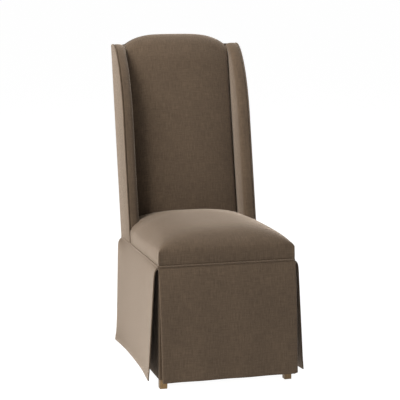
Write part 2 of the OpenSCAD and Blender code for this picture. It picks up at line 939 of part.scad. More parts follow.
// How far a cross panel's side edges draw in towards the hem
skirt_edge_in = 5;
front_folds = 3;
side_folds = 2;
fold_depth = 2.5;
side_fold_depth = 1.2;

// A hanging panel from its outer surface, with its thickness towards the chair
module hanging(outer, inward) {
    n = len(outer[0]);
    m = len(outer);
    all_points = concat([for (r = outer) each r], [for (r = outer) for (p = r) p + inward]);
    back = n * m;
    sheets = [
        for (i = [0 : m - 2]) for (j = [0 : n - 2])
            let (a = i * n + j, b = a + 1, c = a + n, d = c + 1)
                each [[a, b, d], [a, d, c], [back + a, back + d, back + b], [back + a, back + c, back + d]]
    ];
    top_and_hem = [
        for (j = [0 : n - 2])
            let (a = j, b = j + 1, c = (m - 1) * n + j, d = c + 1)
                each [[a, back + b, b], [a, back + a, back + b], [c, d, back + d], [c, back + d, back + c]]
    ];
    ends = [
        for (i = [0 : m - 2])
            let (a = i * n, c = a + n, b = a + n - 1, d = b + n)
                each [[a, c, back + c], [a, back + c, back + a], [b, back + d, d], [b, back + b, back + d]]
    ];
    polyhedron(points = all_points, faces = concat(sheets, top_and_hem, ends), convexity = 4);
}

function skirt_height(v) = skirt_top - v * (skirt_top - hem_z);

// The share of its flare that a panel has reached at a share of its drop
function skirt_hang(v, puff) = puff * (1 - pow(1 - v, skirt_puff_power)) + (1 - puff) * v;

// Front or rear panel, seen from outside: u runs across, v down
function cross_panel(y, dir, flare) = [
    for (i = [0 : skirt_rows]) [
        for (j = [0 : skirt_columns])
            let (
                u = dir * (2 * j / skirt_columns - 1),
                v = pow(i / skirt_rows, skirt_row_power),
                fold = fold_depth * v * cos(180 * front_folds * u),
                out = flare * skirt_hang(v, skirt_puff_share)
            )
            [u * (half_w - skirt_edge_in * v), y + dir * (fold - out), skirt_height(v)]
    ]
];

// Right side panel, seen from outside: u runs from front to rear, v down
function side_panel() = [
    for (i = [0 : skirt_rows]) [
        for (j = [0 : skirt_columns])
            let (
                u = j / skirt_columns,
                v = pow(i / skirt_rows, skirt_row_power),
                out = flare_side + (flare_rear - flare_side) * u - side_draw_in * sin(180 * u),
                fold = side_fold_depth * v * (1 - cos(360 * side_folds * u)) / 2,
                y = front_y + skirt_t + gap + u * (body_d - 2 * skirt_t - 2 * gap)
            )
            [half_w + out * skirt_hang(v, side_puff_share) - fold, y, skirt_height(v)]
    ]
];

module skirt_front() {
    color(cloth) hanging(cross_panel(front_y, 1, flare_front), [0, skirt_t, 0]);
}

module skirt_back() {
    color(cloth) hanging(cross_panel(rear_y, -1, flare_rear), [0, -skirt_t, 0]);
}

module skirt_side(side) {
    color(cloth) on_side(side) hanging(side_panel(), [-skirt_t, 0, 0]);
}

// A pleat underlay hangs straight behind each corner
module pleat_underlay(side, front) {
    x = frame_x + gap;
    y = front ? frame_front_y - gap : frame_rear_y + gap;
    into = front ? 1 : -1;
    color(lining) on_side(side) translate([0, y, hem_z]) linear_extrude(skirt_top - hem_z)
        scale([1, into]) polygon([
            [x - pleat_reach, -pleat_t], [x + pleat_t, -pleat_t], [x + pleat_t, pleat_reach],
            [x, pleat_reach], [x, 0], [x - pleat_reach, 0]
        ]);
}

// Card strips hold the skirt's upper edge to the rails between the underlays
strip_h = 14;
strip_t = wrap_t - skirt_t - 2 * gap;

module skirt_tack_strips() {
    half = frame_x - pleat_reach;
    low = frame_front_y + pleat_reach;
    high = frame_rear_y - pleat_reach;
    color(card) {
        for (y = [frame_front_y - gap - strip_t, frame_rear_y + gap])
            translate([-half, y, skirt_top - strip_h]) cube([2 * half, strip_t, strip_h]);
        for (side = sides) on_side(side)
            translate([frame_x + gap, low, skirt_top - strip_h]) cube([strip_t, high - low, strip_h]);
    }
}

// Dust cover under the rails, notched at the legs
dust_t = 1.2;
dust_in = 6;

module dust_cover() {
    x = frame_x - dust_in;
    low = frame_front_y + dust_in;
    high = frame_rear_y - dust_in;
    color(cambric) translate([0, 0, rail_bottom - dust_t]) linear_extrude(dust_t) difference() {
        translate([-x, low]) square([2 * x, high - low]);
        for (side = sides) for (y = [frame_front_y, frame_rear_y])
            translate([side * frame_x, y]) square(2 * (leg_t + gap), center = true);
    }
}

front_leg(-1);  // front_leg_left
front_leg(1);  // front_leg_right
rear_leg(-1);  // rear_leg_left
rear_leg(1);  // rear_leg_right
front_seat_rail();
rear_seat_rail();
side_seat_rail(-1);  // left_seat_rail
side_seat_rail(1);  // right_seat_rail
seat_rail_dowels();
corner_block(-1, true);  // corner_block_front_left
corner_block(1, true);  // corner_block_front_right
corner_block(-1, false);  // corner_block_rear_left
corner_block(1, false);  // corner_block_rear_right
corner_block_screws();
back_top_rail();
back_lower_rail();
back_rail_dowels();
wing_frame(-1);  // wing_frame_left
wing_frame(1);  // wing_frame_right
wing_frame_screws();
seat_webbing_cross();
seat_webbing_long();
seat_deck_cloth();
seat_foam();
seat_cover();
back_webbing_cross();
back_webbing_long();
back_burlap();
back_foam();
inside_back_cover();
outside_back_board();
outside_back_cover();
wing_pad(-1);  // wing_pad_left
wing_pad(1);  // wing_pad_right
wing_inner_cover(-1);  // wing_inner_cover_left
wing_inner_cover(1);  // wing_inner_cover_right
wing_outer_cover(-1);  // wing_outer_cover_left
wing_outer_cover(1);  // wing_outer_cover_right
skirt_piping();
skirt_tack_strips();
skirt_front();
skirt_back();
skirt_side(-1);  // skirt_left
skirt_side(1);  // skirt_right
pleat_underlay(-1, true);  // pleat_underlay_front_left
pleat_underlay(1, true);  // pleat_underlay_front_right
pleat_underlay(-1, false);  // pleat_underlay_rear_left
pleat_underlay(1, false);  // pleat_underlay_rear_right
dust_cover();
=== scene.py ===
# %% [markdown]
# # A skirted wingback dining chair
# The chair has a wooden frame that is almost wholly hidden: what the eye meets is one taupe, linen-like
# cloth, stretched over foam on the seat, the back and the wings, and hanging free as a skirt. Each cell
# below makes one piece or one finish of it. The wooden parts come ready from the packed CAD model.

# %% Load the packed chair
import json
import math
import time
import bpy
import bmesh
from mathutils import Matrix, Vector


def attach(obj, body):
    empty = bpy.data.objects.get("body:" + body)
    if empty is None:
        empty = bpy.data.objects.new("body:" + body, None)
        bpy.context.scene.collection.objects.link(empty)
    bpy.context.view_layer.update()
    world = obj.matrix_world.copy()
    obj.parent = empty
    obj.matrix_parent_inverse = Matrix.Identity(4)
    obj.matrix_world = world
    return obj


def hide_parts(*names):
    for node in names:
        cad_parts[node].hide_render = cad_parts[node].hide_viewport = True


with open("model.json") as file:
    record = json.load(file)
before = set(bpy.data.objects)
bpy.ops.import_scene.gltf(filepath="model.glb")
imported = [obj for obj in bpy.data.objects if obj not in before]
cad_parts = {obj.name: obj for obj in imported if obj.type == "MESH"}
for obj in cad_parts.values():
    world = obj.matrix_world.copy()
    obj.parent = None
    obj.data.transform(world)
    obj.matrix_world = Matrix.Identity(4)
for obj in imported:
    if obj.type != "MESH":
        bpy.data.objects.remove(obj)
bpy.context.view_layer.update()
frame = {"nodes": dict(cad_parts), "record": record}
started = time.time()

# %% [markdown]
# ## The chair's main measures
# A chair is drawn from a few planes: the piping's height, the two sides, the front, and the leaning plane
# of the rear cover. They are written here in metres, as in the CAD source. The back and wings are drawn
# in their own leaning frame, where -Y is the depth in front of the rear cover and +Z runs up the slope.

# %% Measures
half_w = 0.245
body_d = 0.588
welt_z = 0.429
back_len = 0.762
back_rake = math.radians(12.3)
flare_front, flare_side, flare_rear, side_draw_in = 0.040, 0.036, 0.028, 0.012
front_y = -(body_d + back_len * math.sin(back_rake) - flare_front) / 2
rear_y = front_y + body_d
wrap_t = 0.0075
frame_x = half_w - wrap_t
frame_front_y, frame_rear_y = front_y + wrap_t, rear_y - wrap_t
rail_bottom, deck_top = 0.375, 0.4545
seat_edge_h, seat_rise, seat_roll_d, seat_fall = 0.045, 0.072, 0.225, 0.013
back_t, back_crown, back_top, arch_rise = 0.062, 0.014, 0.7694, 0.044
wing_t, wing_reach, wing_curve_h, wing_drop, wing_flat = 0.043, 0.152, 0.300, 0.032, 0.022
wing_top = back_len - wing_drop
wing_low = -wing_reach * math.tan(back_rake) - 0.012
hem_z, welt_d, seam_gap = 0.033, 0.006, 0.0033
leaning = Matrix.Translation((0, rear_y, welt_z)) @ Matrix.Rotation(-back_rake, 4, "X")
upright = leaning.inverted()
print("front", round(front_y, 4), "rear", round(rear_y, 4), "wing top", round(wing_top, 4))

# %% [markdown]
# ## Helpers for making pieces
# Blender keeps a shape as a mesh. A bmesh is the editable form of one, and its operators do what the
# tools of Edit Mode do. Every piece here is finished the same way: doubles merged, normals turned out,
# and the object left at the origin with its place in its mesh, so that the patterns on it stay put.

# %% Helpers for ending a piece
scene = bpy.context.scene
tiny = 0.00002

def new_object(bm, name):
    """Ends a bmesh as an object of the scene."""
    mesh = bpy.data.meshes.new(name)
    bm.to_mesh(mesh)
    bm.free()
    piece = bpy.data.objects.new(name, mesh)
    scene.collection.objects.link(piece)
    return piece

def add_piece(bm, name):
    """The same for a closed shape, with its doubles merged and its normals turned out first."""
    bmesh.ops.remove_doubles(bm, verts=bm.verts, dist=tiny)
    bmesh.ops.recalc_face_normals(bm, faces=bm.faces)
    return new_object(bm, name)

def keep_modifier(piece, kind, **settings):
    """Adds a modifier, keeps the shape that it gives as the piece's mesh, and takes it off again."""
    modifier = piece.modifiers.new(kind.title(), kind)
    for key, value in settings.items():
        setattr(modifier, key, value)
    bpy.context.view_layer.update()
    graph = bpy.context.evaluated_depsgraph_get()
    mesh = bpy.data.meshes.new_from_object(piece.evaluated_get(graph))
    piece.modifiers.clear()
    piece.data = mesh
    mesh.name = piece.name

def remesh(piece, voxel):
    keep_modifier(piece, "REMESH", mode="VOXEL", voxel_size=voxel)

def subdivide_once(piece):
    keep_modifier(piece, "SUBSURF", levels=1, render_levels=1)

def shade(piece, angle):
    """Smooth shading that keeps edges sharper than an angle."""
    piece.data.shade_smooth()
    piece.data.set_sharp_from_angle(angle=math.radians(angle))

def move_points(piece, move):
    for vertex in piece.data.vertices:
        vertex.co = move(vertex.co)

print("doubles are merged below", tiny, "m")

# %% Helpers for cutting and shaping
def everything(bm):
    return list(bm.verts) + list(bm.edges) + list(bm.faces)

def rim_of(bm):
    """The edges round the holes and along the border of an open shape."""
    return [e for e in bm.edges if e.is_boundary]

def trim(piece, point, normal):
    """Cuts a closed shape off flat on the far side of a plane, and closes the cut."""
    bm = bmesh.new()
    bm.from_mesh(piece.data)
    bmesh.ops.bisect_plane(bm, geom=everything(bm), dist=1e-6, plane_co=point, plane_no=normal,
                           clear_outer=True)
    bmesh.ops.holes_fill(bm, edges=rim_of(bm), sides=0)
    bmesh.ops.recalc_face_normals(bm, faces=bm.faces)
    bm.to_mesh(piece.data)
    bm.free()

def block(bm, low, high):
    """A box between two corners, from the cube operator."""
    size = Vector(high) - Vector(low)
    middle = (Vector(high) + Vector(low)) / 2
    made = bmesh.ops.create_cube(bm, size=1)["verts"]
    bmesh.ops.scale(bm, vec=size, verts=made)
    bmesh.ops.translate(bm, vec=middle, verts=made)

def bevel(bm, edges, width, steps):
    bmesh.ops.bevel(bm, geom=edges, offset=width, offset_type="OFFSET", segments=steps, profile=0.5,
                    affect="EDGES", material=-1, clamp_overlap=True)

def edges_where(bm, test):
    """The edges whose middle passes a test."""
    return [e for e in bm.edges if test((e.verts[0].co + e.verts[1].co) / 2)]

def ramp(value, low, high):
    """0 below low, 1 above high, and a soft rise between them."""
    t = min(1, max(0, (value - low) / (high - low)))
    return t * t * (3 - 2 * t)

print("a ramp from 0 to 1 at its quarters:", [ramp(quarter / 4, 0, 1) for quarter in range(5)])

# %% [markdown]
# ## Blowing up a padded piece
# Real upholstery is cloth pulled over foam, so its faces bow out between the places where it is held. A
# cloth simulation with a little air pressure inside gives this: the piece starts slightly too small, is
# blown up for fourteen frames without gravity, and each point may move only so far. Points that lie
# against the frame or a neighbour are pinned. The raw result has small wrinkles, which tight cloth hasn't,
# so each point's movement is then evened out with its neighbours'. The result is kept in the mesh, so no
# simulation is left on it.

# %% Blow a piece up as cloth
pinned_below = 0.05

def blown_up(piece, shares, pressure=4.0, frames=14):
    """Where a piece's points come to lie as closed cloth with air pressure inside."""
    held = piece.vertex_groups.new(name="held")
    held.add([i for i, share in enumerate(shares) if share < pinned_below], 1.0, "REPLACE")
    modifier = piece.modifiers.new("Cloth", "CLOTH")
    cloth = modifier.settings
    cloth.quality = 4
    cloth.mass = 0.3
    cloth.tension_stiffness = cloth.compression_stiffness = 12
    cloth.shear_stiffness = 4
    cloth.bending_stiffness = 0.6
    cloth.vertex_group_mass = "held"
    cloth.use_pressure = True
    cloth.uniform_pressure_force = pressure
    cloth.effector_weights.gravity = 0
    modifier.point_cache.frame_start, modifier.point_cache.frame_end = 1, frames
    for number in range(1, frames + 1):
        scene.frame_set(number)
    graph = bpy.context.evaluated_depsgraph_get()
    moved = [v.co.copy() for v in piece.evaluated_get(graph).data.vertices]
    piece.modifiers.clear()
    piece.vertex_groups.clear()
    scene.frame_set(1)
    return moved

# %% Cap and even out the movement
evened_above, nothing = 0.02, 1e-9

def capped(step, cap):
    """The same step, shortened so that it comes near the cap but never passes it."""
    length, most = max(step.length, nothing), max(cap, nothing)
    return step * (most * math.tanh(length / most) / length)

def evened(mesh, steps, shares, rounds=40, own=0.4, others=0.6):
    """Shares each point's movement with its neighbours, which irons small wrinkles out of tight cloth."""
    edges = [tuple(edge.vertices) for edge in mesh.edges]
    counts = [0] * len(steps)
    for a, b in edges:
        counts[a] += 1
        counts[b] += 1
    for _ in range(rounds):
        sums = [Vector((0, 0, 0)) for _ in steps]
        for a, b in edges:
            sums[a] += steps[b]
            sums[b] += steps[a]
        steps = [own * step + others * total / max(count, 1) if share > evened_above else step
                 for step, total, count, share in zip(steps, sums, counts, shares)]
    return steps

def plump(piece, cap, free):
    """free(point) is the share of the cap that a point may move by, 0 where the cloth is held."""
    mesh = piece.data
    start = [v.co.copy() for v in mesh.vertices]
    shares = [free(point) for point in start]
    raw = [to - from_ for from_, to in zip(start, blown_up(piece, shares))]
    steps = [capped(step, cap * share) for step, share in zip(raw, shares)]
    for vertex, from_, step in zip(mesh.vertices, start, evened(mesh, steps, shares)):
        vertex.co = from_ + step
    furthest = max(step.length for step in raw)
    print(piece.name, "moved up to", round(furthest * 1000, 1), "mm before the cap")

for length in (0.002, 0.004, 0.008):
    print("a step of", length, "m under a cap of 0.004 m becomes",
          round(capped(Vector((length, 0, 0)), 0.004).length, 5), "m")

# %% [markdown]
# ## The cloth's own coordinates
# A weave follows the cloth and not the room, so each piece carries a UV map in metres: V along the warp
# and U across it. On a roll the two directions add up, so that the threads run on over the roll without a
# jump, just as one length of cloth would.

# %% Cloth coordinates
def lay_cloth(piece, rule):
    mesh = piece.data
    layer = mesh.uv_layers.get("cloth") or mesh.uv_layers.new(name="cloth")
    for face in mesh.polygons:
        for loop in face.loop_indices:
            point = mesh.vertices[mesh.loops[loop].vertex_index].co
            layer.data[loop].uv = rule(point, face.normal)

def upright_rule(point, normal):
    if abs(normal.x) > abs(normal.y):
        return point.y, point.z
    return point.x, point.z

print("cloth coordinates ready")

# %% [markdown]
# ## Cloth finish
# The photo shows a plain-woven, linen-like cloth: matt, taupe-brown, with fine threads, some of them
# thicker for a few centimetres, and a pale bloom where it is seen at a low angle. Two sets of bands make
# the threads, long thin noise makes the thicker ones, and sheen makes the bloom. The pleat underlays have
# the same weave with hardly any bloom, because no light reaches them at a low angle. Their colours are the
# cover's painted a little lighter: painted light that lifts the shade inside the pleats.

# %% Node helpers
class Nodes:
    """Short calls that add nodes to a material and link them."""
    def __init__(self, name):
        self.material = bpy.data.materials.new(name)
        self.material.use_nodes = True
        self.tree = self.material.node_tree
        self.shader = self.tree.nodes["Principled BSDF"]

    def add(self, kind, **values):
        node = self.tree.nodes.new("ShaderNode" + kind)
        for key, value in values.items():
            setattr(node, key, value)
        return node

    def give(self, node, **values):
        """Sets a node's inputs by name, with an underscore for each space."""
        for key, value in values.items():
            node.inputs[key.replace("_", " ")].default_value = value

    def set(self, **values):
        self.give(self.shader, **values)

    def link(self, output, target):
        self.tree.links.new(output, target)

    def feed(self, value, target):
        """Gives an input a number, or links it where the value comes from another node."""
        if isinstance(value, (int, float)):
            target.default_value = value
        else:
            self.link(value, target)

    def coordinates(self):
        return self.add("TexCoord").outputs["Object"]

    def stretched(self, source, scale):
        node = self.add("Mapping")
        self.give(node, Scale=scale)
        self.link(source, node.inputs["Vector"])
        return node.outputs["Vector"]

    def noise(self, source, scale, detail=3.0, roughness=0.5, distortion=0.0):
        node = self.add("TexNoise")
        self.give(node, Scale=scale, Detail=detail, Roughness=roughness, Distortion=distortion)
        self.link(source, node.inputs["Vector"])
        return node.outputs["Fac"]

    def bands(self, source, pitch, direction, distortion):
        """Wave bands at a pitch in metres. The texture repeats every pi / (10 * scale)."""
        node = self.add("TexWave", wave_type="BANDS", bands_direction=direction, wave_profile="SIN")
        scale = math.pi / (10 * pitch)
        self.give(node, Scale=scale, Distortion=distortion, Detail=2, Detail_Scale=1.5)
        self.link(source, node.inputs["Vector"])
        return node.outputs["Fac"]

    def ramp(self, source, stops):
        node = self.add("ValToRGB")
        elements = node.color_ramp.elements
        while len(elements) < len(stops):
            elements.new(0.5)
        for element, (place, colour) in zip(elements, stops):
            element.position = place
            element.color = (*colour, 1)
        self.link(source, node.inputs["Fac"])
        return node.outputs["Color"]

    def maths(self, operation, a, b):
        node = self.add("Math", operation=operation)
        self.feed(a, node.inputs[0])
        self.feed(b, node.inputs[1])
        return node.outputs["Value"]

    def mixed(self, *parts):
        """The sum of some values, each with its weight."""
        terms = [self.maths("MULTIPLY", value, weight) for value, weight in parts]
        total = terms[0]
        for term in terms[1:]:
            total = self.maths("ADD", total, term)
        return total

    def blend(self, factor, a, b, kind="MIX"):
        """Mixes two colours, which are inputs 6 and 7 and output 2 of the Mix node."""
        node = self.add("Mix", data_type="RGBA", blend_type=kind)
        for value, number in ((factor, 0), (a, 6), (b, 7)):
            self.feed(value, node.inputs[number])
        return node.outputs[2]

    def bump(self, height, distance, strength):
        node = self.add("Bump")
        self.give(node, Strength=strength, Distance=distance)
        self.link(height, node.inputs["Height"])
        self.link(node.outputs["Normal"], self.shader.inputs["Normal"])

print("node helpers:", [name for name in vars(Nodes) if not name.startswith("_")])

# %% Cloth materials
def cloth_finish(name, dark, light, sheen=0.65, thread=0.0011):
    """A plain weave with slubs. dark and light are the colours of its hollows and its thread tops."""
    n = Nodes(name)
    uv = n.add("UVMap", uv_map="cloth").outputs["UV"]
    weave = n.mixed((n.bands(uv, thread, "X", 0.6), 0.5), (n.bands(uv, thread, "Y", 0.6), 0.5))
    warp_slub = n.noise(n.stretched(uv, (420, 26, 1)), 1.0, detail=2.0, roughness=0.6)
    weft_slub = n.noise(n.stretched(uv, (24, 380, 1)), 1.0, detail=2.0, roughness=0.6)
    slubs = n.mixed((warp_slub, 0.58), (weft_slub, 0.42))
    mottle = n.noise(uv, 130.0, detail=3.0, roughness=0.6)
    cloud = n.noise(uv, 6.0, detail=2.0, roughness=0.5)
    tone = n.mixed((slubs, 0.70), (mottle, 0.18), (cloud, 0.12))
    colour = n.ramp(tone, [(0.38, dark), (0.64, light)])
    hollow = n.ramp(weave, [(0.1, (0.72,) * 3), (0.7, (1.06,) * 3)])
    n.link(n.blend(1.0, colour, hollow, "MULTIPLY"), n.shader.inputs["Base Color"])
    n.link(n.ramp(slubs, [(0.3, (0.95,) * 3), (0.7, (0.82,) * 3)]), n.shader.inputs["Roughness"])
    n.bump(n.mixed((weave, 0.6), (slubs, 0.9)), 0.0005, 0.55)
    n.set(Sheen_Weight=sheen, Sheen_Roughness=0.45, Sheen_Tint=(0.93, 0.775, 0.635, 1),
          Specular_IOR_Level=0.2)
    return n.material

cover_cloth = cloth_finish("taupe linen", (0.060, 0.0398, 0.0245), (0.116, 0.0785, 0.049))
# The underlay's two colours are the cover's made some 7% lighter: painted light that lifts the shade inside
# the pleats.
lining_cloth_with_painted_light = cloth_finish("taupe linen, pleat underlay, with painted light", (0.064, 0.0425, 0.026), (0.124, 0.084, 0.052),
                            sheen=0.08)
print("cloth materials:", cover_cloth.name, "and", lining_cloth_with_painted_light.name)

# %% [markdown]
# ## Wood, foam and the hidden trades' materials
# The feet are oiled oak: golden brown, with grain lines running down the leg. Inside are paler beech
# rails, jute webbing, burlap, foam, card, zinc-plated screws and black dust cloth. None of these shows in
# the photo apart from the feet, but each has its own finish for anyone who takes the covers off. Wood
# takes noise that is stretched along the leg, woven goods take crossed bands, and the rest fine specks.

# %% Wood materials
def wood_finish(name, dark, light, gloss=0.42):
    n = Nodes(name)
    place = n.coordinates()
    long_grain = n.noise(n.stretched(place, (70, 70, 3.2)), 1.0, 5.0, 0.6, 0.6)
    pores = n.noise(n.stretched(place, (900, 900, 22)), 1.0, 2.0, 0.5)
    figure = n.noise(n.stretched(place, (14, 14, 1.4)), 1.0, 3.0, 0.5, 1.2)
    tone = n.mixed((long_grain, 0.6), (figure, 0.4))
    colour = n.ramp(tone, [(0.33, dark), (0.66, light)])
    pits = n.ramp(pores, [(0.35, (0.55, 0.5, 0.45)), (0.48, (1, 1, 1))])
    n.link(n.blend(0.6, colour, n.blend(1.0, colour, pits, "MULTIPLY")), n.shader.inputs["Base Color"])
    n.link(n.ramp(pores, [(0.3, (0.7,) * 3), (0.6, (gloss,) * 3)]), n.shader.inputs["Roughness"])
    n.bump(pores, 0.0002, 0.5)
    return n.material

leg_oak = wood_finish("oiled oak", (0.13, 0.070, 0.021), (0.27, 0.160, 0.052))
frame_beech = wood_finish("planed beech", (0.42, 0.27, 0.15), (0.60, 0.43, 0.26), gloss=0.6)
print("woods:", leg_oak.name, "and", frame_beech.name)

# %% Hidden materials
def woven_strip(name, dark, light, pitch):
    n = Nodes(name)
    place = n.coordinates()
    weave = n.mixed(*((n.bands(place, pitch, axis, 0.5), 0.33) for axis in "XYZ"))
    tone = n.mixed((weave, 0.7), (n.noise(place, 900.0), 0.3))
    n.link(n.ramp(tone, [(0.25, dark), (0.75, light)]), n.shader.inputs["Base Color"])
    n.bump(tone, 0.0008, 0.8)
    n.set(Roughness=0.9)
    return n.material

def speckled(name, dark, light, scale, roughness, depth, metal=0.0):
    n = Nodes(name)
    spots = n.noise(n.coordinates(), scale, 4.0, 0.65)
    n.link(n.ramp(spots, [(0.35, dark), (0.65, light)]), n.shader.inputs["Base Color"])
    n.bump(spots, depth, 0.7)
    n.set(Roughness=roughness, Metallic=metal)
    return n.material

hidden = {
    "webbing": woven_strip("jute webbing", (0.10, 0.075, 0.045), (0.30, 0.23, 0.14), 0.0024),
    "burlap": woven_strip("burlap", (0.22, 0.15, 0.08), (0.48, 0.36, 0.21), 0.0018),
    "foam": speckled("cushion foam", (0.62, 0.52, 0.30), (0.80, 0.71, 0.47), 1400.0, 0.95, 0.0006),
    "card": speckled("upholsterer's card", (0.36, 0.26, 0.16), (0.50, 0.38, 0.25), 500.0, 0.85, 0.0002),
    "screw_steel": speckled("zinc-plated steel", (0.50, 0.51, 0.53), (0.68, 0.69, 0.71), 900.0, 0.35,
                            0.0001, metal=1.0),
    "cambric": speckled("black dust cloth", (0.012, 0.012, 0.013), (0.030, 0.029, 0.028), 1800.0, 0.95,
                        0.0003),
}
slot_material = dict(hidden, cover_fabric=cover_cloth, lining_fabric=lining_cloth_with_painted_light, leg_wood=leg_oak,
                     frame_wood=frame_beech)
for part in frame["record"]["subparts"]:
    for material_slot in frame["nodes"][part["node"]].material_slots:
        material_slot.material = slot_material[part["material_slot"]]

# %% [markdown]
# ## Dressing a piece
# Each new piece needs the same last words: its finish, the body that it rides on, and the CAD nodes that it
# stands for, which are hidden. The chair has no joints, so its one body
# is called root.

# %% Dress
def dress(piece, material, slot_name, *nodes):
    piece.data.materials.clear()
    piece.data.materials.append(material)
    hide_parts(*nodes)
    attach(piece, "root")
    seconds = round(time.time() - started, 1)
    print(piece.name, "faces:", len(piece.data.polygons), "seconds so far:", seconds)

print("ready to dress pieces")

# %% [markdown]
# ## The padded back
# The inside back is one foam slab on the frame between the wings. Its top edge is an arch that falls off
# towards its ends, the front of that edge is a large soft roll, and its face bows forward in the middle.
# A plain block is rolled with bevels and remeshed into even squares, which bend better than the block's
# few large faces. Then it is drawn up into the arch and out into the crown. Last comes the padding
# simulation.

# %% Back
back_half_w = half_w - wing_t - 0.0015
back_shoulder = back_top - arch_rise

def arch_share(x):
    """The share of the arch's rise that is reached at x: 1 in the middle, 0 at the ends."""
    return 1 - min(1, abs(x) / back_half_w) ** 3.7

def arch_and_crown(p):
    """Lifts the top into the arch, bows the face, and makes room beside the full tops of the wings."""
    crown_power, crown_fade, crown_least = 2.4, 0.11, 0.03
    height = (p.z - wing_low) / (back_shoulder - wing_low)
    rise = arch_rise * arch_share(p.x) * height
    across = 1 - min(1, abs(p.x) / back_half_w) ** crown_power
    up = ramp(back_shoulder - p.z, 0.0, crown_fade) * 0.97 + crown_least
    forward = ramp(-p.y, 0.02, back_t) * back_crown * across * up
    beside_pillow = ramp(p.z, wing_top - 0.085, wing_top - 0.03)
    narrow = 0.002 * beside_pillow * ramp(abs(p.x), back_half_w - 0.03, back_half_w)
    return Vector((p.x - math.copysign(narrow, p.x), p.y - forward, p.z + rise))

def back_free(p):
    """The face is free, less so at the sides, and the rear and the foot are held."""
    sides = ramp(back_half_w - abs(p.x), 0.001, 0.010)
    return ramp(-p.y, 0.012, 0.035) * ramp(p.z, 0.02, 0.05) * (0.25 + 0.75 * sides)

def make_back():
    inset, rear = 0.002, -0.0042
    top_roll, rear_roll, side_roll = 0.042, 0.004, 0.005
    high, side = back_shoulder - 2 * inset, back_half_w - 2 * inset
    bm = bmesh.new()
    block(bm, (-back_half_w + inset, -back_t + inset, wing_low),
          (back_half_w - inset, rear, back_shoulder - inset))
    bevel(bm, edges_where(bm, lambda p: p.y < -back_t + 2 * inset and p.z > high), top_roll, 10)
    bevel(bm, edges_where(bm, lambda p: p.y > rear - 0.0008 and p.z > high), rear_roll, 3)
    bevel(bm, edges_where(bm, lambda p: abs(p.x) > side and p.y < rear - rear_roll - 0.0003
                          and p.z > wing_low + 0.01), side_roll, 3)
    piece = add_piece(bm, "inside_back")
    remesh(piece, 0.0055)
    move_points(piece, arch_and_crown)
    plump(piece, 0.004, back_free)
    subdivide_once(piece)
    piece.data.transform(leaning)
    return piece

inside_back = make_back()
shade(inside_back, 50)

# %% Cut the back's foot level with the seat deck
trim(inside_back, (0, 0, deck_top + 0.0005), (0, 0, -1))

def back_rule(point, normal):
    q = upright @ point
    if abs(normal.x) > 0.8:
        return q.y, q.z
    return q.x, q.z + q.y

lay_cloth(inside_back, back_rule)
dress(inside_back, cover_cloth, "cover_fabric", "inside_back_cover", "back_foam")

# %% [markdown]
# ## The wings
# A wing is a board in the leaning frame with a padded roll round its front edge. Seen from the side its
# front edge runs straight up and then sweeps back to a short flat top. One plate gives both: the sweep is
# a very large bevel of one corner, made while the plate is squeezed so that the sweep is a true quarter
# circle. Two such plates make a wing: a thick one that is rolled and padded towards the inside, and a thin
# flat one outside it, which reaches the same edge. Their two bevels leave a groove between them, where
# the real covers are sewn together. The right wing is made once, and the left one is its mirror image.

# %% Wing plate
panel_in, panel_out = half_w - 0.0034, half_w + 0.0002

def wing_plate(bm, inset, near, far, steps):
    """A plate with the wing's outline, between two distances from the middle of the chair."""
    sweep_d, sweep_h = wing_reach - wing_flat, wing_curve_h
    block(bm, (near, (-wing_reach + inset) / sweep_d, (wing_low + inset) / sweep_h),
          (far, -inset / sweep_d, (wing_top - inset) / sweep_h))
    corner = edges_where(bm, lambda p: p.y < -0.9 and p.z > 0.9 * wing_top / sweep_h
                         and abs(p.x - (near + far) / 2) < 1e-6)
    bevel(bm, corner, 1.0, steps)
    bmesh.ops.scale(bm, vec=(1, sweep_d, sweep_h), verts=bm.verts)

def front_edges(bm, x):
    return edges_where(bm, lambda p: abs(p.x - x) < 1e-5 and p.y < -0.004 and p.z > wing_low + 0.004)

def end_wing(piece):
    """Cuts the rear edge flat, leans the piece, and ends its foot just above the piping."""
    trim(piece, (0, -0.0040, 0), (0, 1, 0))
    piece.data.transform(leaning)
    trim(piece, (0, 0, welt_z + seam_gap), (0, 0, -1))
    print(piece.name, "faces:", len(piece.data.polygons))

print("wing panel from x", round(panel_in, 4), "to", round(panel_out, 4))

# %% Padded roll of the wing
def make_wing():
    inset, groove, pillow = 0.0016, 0.0014, 0.0045
    inner_roll, outer_roll = 0.0165, 0.0048
    near, far = half_w - wing_t + inset, panel_in - groove
    bm = bmesh.new()
    wing_plate(bm, inset, near, far, 20)
    bevel(bm, front_edges(bm, near), inner_roll, 8)
    bevel(bm, front_edges(bm, far), outer_roll, 3)
    piece = add_piece(bm, "wing_roll_right")
    remesh(piece, 0.0045)

    def top_pillow(p):
        """The pad is fuller towards the inside at the top of the wing."""
        high = ramp(p.z, wing_top - 0.070, wing_top - 0.012) * ramp(-p.y, 0.0, 0.03)
        inner = ramp(far - p.x, 0.015, far - near)
        return Vector((p.x - pillow * high * inner, p.y, p.z))

    def free(p):
        inner = ramp(far - p.x, 0.002, 0.012)
        from_rear = ramp(-p.y, 0.052, 0.085)
        return inner * max(from_rear, 0.3 * ramp(-p.y, 0.02, 0.05)) * ramp(p.z, 0.01, 0.04)

    move_points(piece, top_pillow)
    plump(piece, 0.0032, free)
    subdivide_once(piece)
    return piece

wing_roll_right = make_wing()
end_wing(wing_roll_right)

# %% Outer panels of the wings
def make_wing_panel():
    bm = bmesh.new()
    wing_plate(bm, 0.0012, panel_in, panel_out, 28)
    bevel(bm, edges_where(bm, lambda p: abs(p.x - panel_out) < 1e-5), 0.0014, 3)
    return add_piece(bm, "wing_side_right")

wing_side_right = make_wing_panel()
end_wing(wing_side_right)

